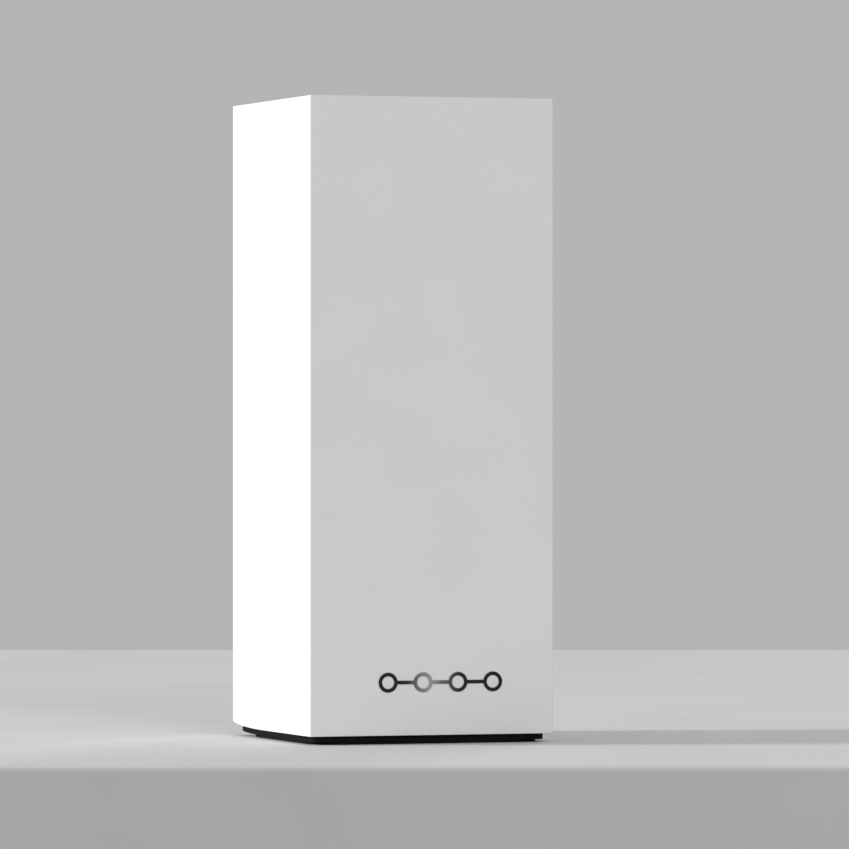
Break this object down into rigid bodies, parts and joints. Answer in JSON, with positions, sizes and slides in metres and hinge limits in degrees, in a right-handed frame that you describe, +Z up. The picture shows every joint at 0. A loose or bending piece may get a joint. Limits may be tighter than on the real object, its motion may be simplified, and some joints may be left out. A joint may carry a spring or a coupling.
{
  "type": "mesh wifi node",
  "caption": "Tall square white tower mesh wifi node with a vented top, a recessed rear port bay, a power rocker, buttons and a low black rubber foot.",
  "frame": {"origin": "centre of the footprint, on the surface that the foot stands on", "axes": "+Z up along the tower, -Y the plain front face with the emblem, +Y the port side, +X to the right of someone who faces the front"},
  "size_m": [0.0888, 0.0891, 0.2235],
  "materials": {
    "shell_white": "fine satin white",
    "emblem_metal": "dark satin metal, lighter at its middle",
    "vent_white": "satin white",
    "lens_clear": "clear, softly frosted",
    "base_black": "fine grained black",
    "foot_rubber": "soft matt black",
    "label_grey": "blank silver-grey film",
    "tray_charcoal": "fine grained charcoal",
    "socket_steel": "tinned sheet steel",
    "socket_black": "moulded black nylon",
    "contact_gold": "gold plated",
    "led_lens": "translucent pale green",
    "pin_nickel": "nickel plated",
    "switch_black": "semi-gloss black",
    "button_grey": "satin dark grey",
    "reset_red": "satin red",
    "plunger_black": "satin black",
    "switch_grey": "tinned cover",
    "chassis_grey": "satin grey moulding",
    "board_green": "green solder mask",
    "heatsink_alu": "extruded, brushed",
    "pad_pink": "soft silicone pad",
    "shield_steel": "pressed tin plate",
    "chip_black": "moulded epoxy",
    "cap_sleeve": "dark blue sleeve",
    "ferrite_grey": "pressed ferrite",
    "antenna_board": "thin printed board with copper arms",
    "coax_grey": "dark thin coaxial sleeve",
    "ribbon_ivory": "flat ribbon",
    "screw_steel": "zinc plated"
  },
  "bodies": {
    "housing": {"outer_shell": "shell_white", "front_emblem": "emblem_metal", "top_vent": "vent_white", "light_pipe": "lens_clear", "base_plate": "base_black", "rubber_foot": "foot_rubber", "base_label": "label_grey", "port_tray": "tray_charcoal", "ethernet_shield_1": "socket_steel", "ethernet_shield_2": "socket_steel", "ethernet_shield_3": "socket_steel", "ethernet_shield_4": "socket_steel", "ethernet_insert_1": "socket_black", "ethernet_insert_2": "socket_black", "ethernet_insert_3": "socket_black", "ethernet_insert_4": "socket_black", "ethernet_contacts_1": "contact_gold", "ethernet_contacts_2": "contact_gold", "ethernet_contacts_3": "contact_gold", "ethernet_contacts_4": "contact_gold", "ethernet_leds": "led_lens", "dc_jack_body": "socket_black", "dc_jack_pin": "pin_nickel", "dc_jack_spring": "pin_nickel", "switch_body": "switch_black", "pair_switch": "switch_grey", "reset_switch": "switch_grey", "chassis": "chassis_grey", "main_board": "board_green", "front_heatsink": "heatsink_alu", "rear_heatsink": "heatsink_alu", "thermal_pads": "pad_pink", "front_rf_shield": "shield_steel", "rear_rf_shield": "shield_steel", "processor": "chip_black", "memory_chips": "chip_black", "radio_chips": "chip_black", "magnetics": "chip_black", "capacitors": "cap_sleeve", "inductors": "ferrite_grey", "antenna_1": "antenna_board", "antenna_2": "antenna_board", "antenna_3": "antenna_board", "antenna_4": "antenna_board", "antenna_5": "antenna_board", "antenna_6": "antenna_board", "antenna_cables": "coax_grey", "coax_connectors": "contact_gold", "led_board": "board_green", "led_cable": "ribbon_ivory", "base_screws": "screw_steel", "shell_screws": "screw_steel", "board_screws": "screw_steel", "heatsink_screws": "screw_steel", "led_screws": "screw_steel"},
    "power_rocker": {"power_rocker": "switch_black"},
    "pair_button": {"pair_button": "button_grey", "pair_plunger": "plunger_black"},
    "reset_button": {"reset_button": "reset_red", "reset_plunger": "plunger_black"}
  },
  "joints": [
    {"name": "power_rocker_hinge", "type": "hinge", "parent": "housing", "child": "power_rocker", "pos_m": [0.0255, 0.0336, 0.0285], "axis": [1, 0, 0], "range_deg": [-20, 0]},
    {"name": "pair_button_press", "type": "slide", "parent": "housing", "child": "pair_button", "axis": [0, -1, 0], "range_m": [0, 0.0007], "stiffness_N_per_m": 1500, "springref_m": -0.0004},
    {"name": "reset_button_press", "type": "slide", "parent": "housing", "child": "reset_button", "axis": [0, 0, 1], "range_m": [0, 0.0006], "stiffness_N_per_m": 1500, "springref_m": -0.0004}
  ]
}
